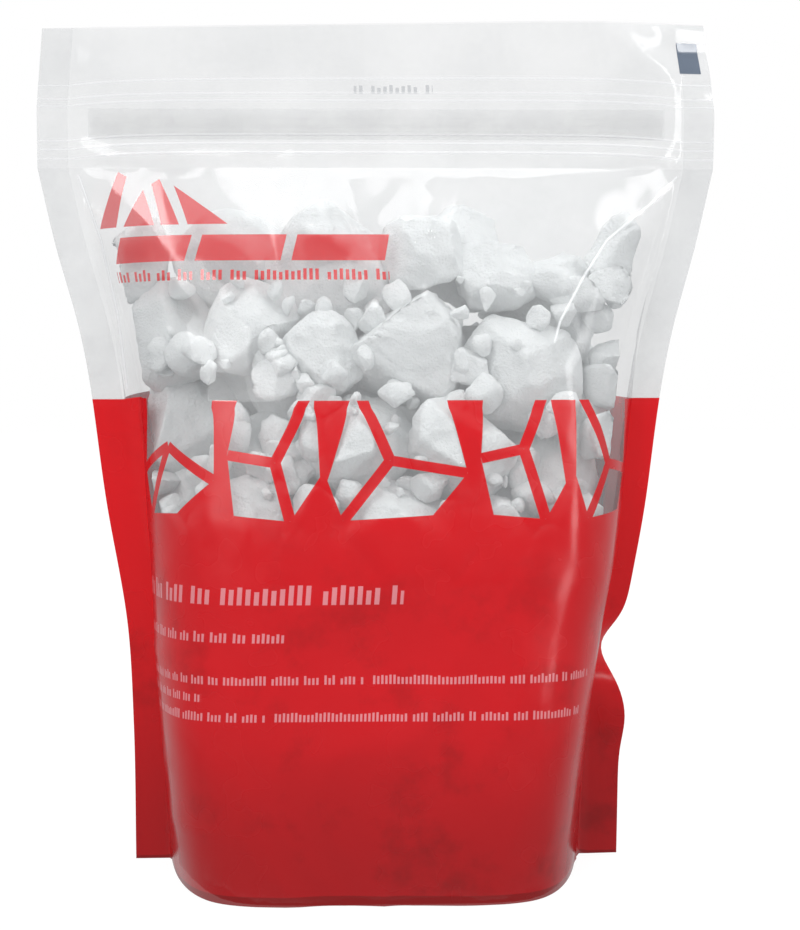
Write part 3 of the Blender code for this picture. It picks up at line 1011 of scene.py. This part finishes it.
CHALK_SEED = 11
CHALK_CUTS = 3  # how often each edge of the model's chalk is halved
SHALLOWEST_CHIP = 0.94  # the share of the reach at which it starts
CHIP_FLATNESS = 0.92
LUMP_GROWTH = 1.24  # makes up for what is chipped off
LUMP_CHIPS = (14, 0.40)  # how many, and the deepest as a share of the reach
LUMP_ROUGHNESS = 0.0010
BED_ROUGHNESS = 0.0022
BED_COARSENESS = 60.0
CHALK_REACH = 0.90  # the share of the inner half width that chalk keeps within
CHALK_PRESS = 0.0008  # how far chalk may press into the film
ROOM_ROWS = 120
ROOM_COLUMNS = 60

CRUMBS = 300
CRUMB_TRIES = 12000
CRUMB_CHIPS = (10, 0.55)
CRUMB_RADIUS = 0.0018  # the smallest, and how much larger the largest is
CRUMB_RADIUS_RANGE = 0.0055
CRUMB_ACROSS = 0.84
CRUMB_HEIGHTS = (BED_TOP - 0.002, 0.176)
CRUMB_NEAREST = 0.3  # how near a crumb's middle lies to other chalk, as shares of its radius
CRUMB_FARTHEST = 1.05


def chipped(points, rng, chips, deepest):
    """The points pressed flat against a few planes, as where pieces broke away from a block."""
    centre = points.mean(axis=0)
    points = points - centre
    for _ in range(chips):
        normal = rng.normal(size=3)
        normal /= np.linalg.norm(normal)
        reach = points @ normal
        beyond = np.maximum(reach - reach.max() * rng.uniform(1 - deepest, SHALLOWEST_CHIP), 0)
        points = points - CHIP_FLATNESS * beyond[:, None] * normal
    return points + centre


def broken_surface(bm, rng, size, coarseness=75.0):
    """Break up a surface with waves, ridges and pits of a given size."""
    bm.normal_update()
    shift = Vector(rng.uniform(-1, 1, 3))
    moves = []
    for vert in bm.verts:
        p = vert.co + shift
        wave = noise.noise(p * coarseness)
        ridge = abs(noise.noise(p * 2.2 * coarseness))
        pits = noise.turbulence(p * 6 * coarseness, 2, False)
        moves.append(vert.normal * size * (0.8 * wave - 1.2 * ridge + 0.25 * pits + 0.3))
    for vert, move in zip(bm.verts, moves):
        vert.co += move


def room_for_chalk():
    """Steps up and across, the side walls at each height, and the film's depth at each step."""
    heights = np.linspace(0.0, NECK_Z, ROOM_ROWS)
    shares = np.linspace(0.0, 1.0, ROOM_COLUMNS)
    walls = np.array([inner_half_width(z) for z in heights])
    depths = [[profile(u, z, -1) for u in shares] for z in heights]
    return heights, shares, walls, np.array([[depth * share for depth, share in row] for row in depths])


def within_film(points, room):
    """The points pressed back inside the side walls, and not far beyond the front and back."""
    heights, shares, walls, limits = room
    row = np.clip(np.rint(points[:, 2] / heights[1]), 0, len(heights) - 1).astype(int)
    reach = CHALK_REACH * walls[row]
    points[:, 0] = np.clip(points[:, 0], -reach, reach)
    column = np.rint(np.abs(points[:, 0]) / walls[row] / shares[1]).astype(int)
    limit = limits[row, column] + CHALK_PRESS
    points[:, 1] = np.clip(points[:, 1], -limit, limit)
    return points


def divided(mesh):
    """The model's chalk with each edge halved a few times."""
    bm = bmesh.new()
    bm.from_mesh(mesh)
    bmesh.ops.remove_doubles(bm, verts=bm.verts, dist=1e-5)
    bmesh.ops.triangulate(bm, faces=bm.faces)
    for _ in range(CHALK_CUTS):
        bmesh.ops.subdivide_edges(bm, edges=bm.edges, cuts=1, use_grid_fill=True)
        bmesh.ops.triangulate(bm, faces=bm.faces)
    return bm


def finished(bm, name):
    """A smooth shaded mesh from a bmesh, which is freed."""
    mesh = bpy.data.meshes.new(name)
    bm.to_mesh(mesh)
    bm.free()
    mesh.materials.clear()
    mesh.shade_smooth()
    return mesh


def make_lumps(material, room):
    pieces = []
    nodes = sorted(name for name in frame["nodes"] if name.startswith("chalk_lump_"))
    for index, node in enumerate(nodes):
        rng = np.random.default_rng(CHALK_SEED + index)
        bm = divided(frame["nodes"][node].data)
        for _ in range(2):
            bmesh.ops.smooth_vert(
                bm, verts=bm.verts, factor=0.5, use_axis_x=True, use_axis_y=True, use_axis_z=True
            )
        points = np.array([v.co for v in bm.verts])
        centre = points.mean(axis=0)
        chips = chipped(points, rng, *LUMP_CHIPS)
        points = within_film(centre + LUMP_GROWTH * (chips - centre), room)
        for vert, point in zip(bm.verts, points):
            vert.co = point
        broken_surface(bm, rng, LUMP_ROUGHNESS)
        piece = add_piece(node.replace("chalk_", ""), finished(bm, node + "_rough"), material)
        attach(piece, "pouch")
        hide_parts(node)
        pieces.append(piece)
    return pieces


def make_bed(material):
    bm = divided(frame["nodes"]["chalk_fines_bed"].data)
    broken_surface(bm, np.random.default_rng(CHALK_SEED), BED_ROUGHNESS, BED_COARSENESS)
    bed = add_piece("packed_fines", finished(bm, "packed_fines"), material)
    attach(bed, "pouch")
    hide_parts("chalk_fines_bed")
    return bed


def make_crumbs(material, pieces, room):
    """Fragments and crumbs caught between the lumps, as one piece."""
    tree = chalk_tree(pieces)
    rng = np.random.default_rng(CHALK_SEED)
    whole = bmesh.new()
    made = 0
    for _ in range(CRUMB_TRIES):
        if made == CRUMBS:
            break
        radius = CRUMB_RADIUS + CRUMB_RADIUS_RANGE * rng.random() ** 2
        side = rng.choice((-1, 1))
        across, z = rng.uniform(-CRUMB_ACROSS, CRUMB_ACROSS), rng.uniform(*CRUMB_HEIGHTS)
        film = film_point(across, z, side)
        inward = radius * 0.8 + rng.uniform(0.0, 0.03) ** 1.3
        place = Vector((film.x, film.y - side * inward, z))
        near, normal, _, distance = tree.find_nearest(place)
        if (place - near).dot(normal) < 0:
            continue
        if not CRUMB_NEAREST * radius < distance < CRUMB_FARTHEST * radius:
            continue
        start = len(whole.verts)
        bmesh.ops.create_icosphere(whole, subdivisions=3, radius=radius)
        whole.verts.ensure_lookup_table()
        verts = whole.verts[start:]
        points = np.array([v.co for v in verts]) * rng.uniform(0.7, 1.3, 3)
        points = chipped(points, rng, *CRUMB_CHIPS)
        for vert, point in zip(verts, points):
            vert.co = Vector(point) * (1 + 0.14 * noise.noise(Vector(point) * 400 + place * 90))
        points = within_film(np.array([v.co + place for v in verts]), room)
        for vert, point in zip(verts, points):
            vert.co = point
        made += 1
    crumbs = add_piece("chalk_crumbs", finished(whole, "chalk_crumbs"), material)
    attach(crumbs, "pouch")
    return crumbs


# ---------------------------------------------------------------- the whole


def build():
    make_camera()
    make_stage()
    lump_chalk = chalk("lump_chalk", LUMP_WHITE)
    room = room_for_chalk()
    pieces = make_lumps(lump_chalk, room)
    pieces.append(make_bed(chalk("fine_chalk", FINES_WHITE)))
    pieces.append(make_crumbs(lump_chalk, pieces, room))
    make_walls(chalk_tree(pieces))
    make_lips()
    make_zip_strips()
    make_side_seals()
    make_gusset()


build()
